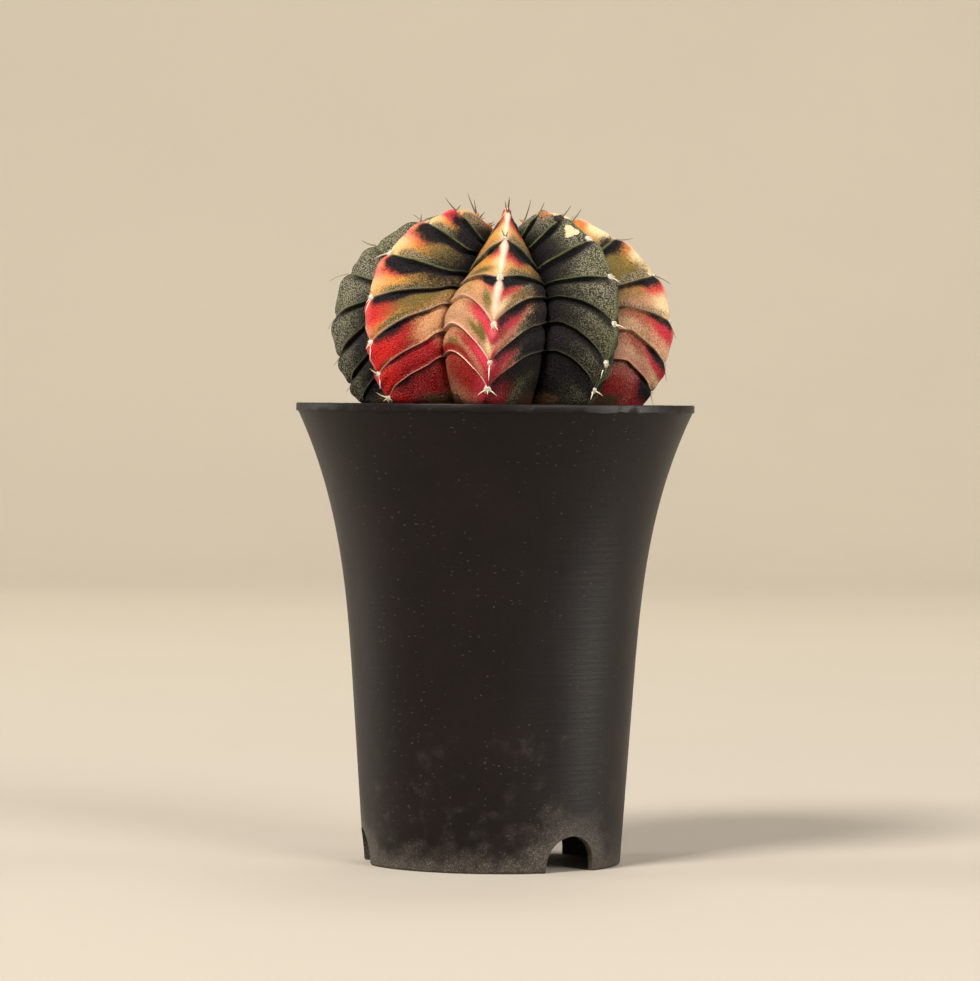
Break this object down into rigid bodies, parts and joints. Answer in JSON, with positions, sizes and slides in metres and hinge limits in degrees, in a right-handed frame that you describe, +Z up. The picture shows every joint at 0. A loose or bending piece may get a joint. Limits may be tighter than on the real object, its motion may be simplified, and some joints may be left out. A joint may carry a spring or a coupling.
{
  "type": "potted moon cactus",
  "caption": "Variegated ribbed globe cactus with cross ridges and short spines, standing in soil in a tall flared plastic pot with a raised, drained floor.",
  "frame": {"origin": "centre of the pot's base, on the surface that it stands on", "axes": "+Z up, -Y towards the pictured side, +X to the right of it"},
  "size_m": [0.085, 0.085, 0.1433],
  "materials": {
    "pot_plastic": "satin black, scuffed and dusty towards the foot",
    "potting_mix": "dry, gritty and matt",
    "cactus_flesh": "matt skin with a fine grain, green to yellow, orange and crimson"
  },
  "bodies": {
    "root": {"pot": "pot_plastic", "soil": "potting_mix", "cactus": "cactus_flesh"}
  },
  "joints": []
}
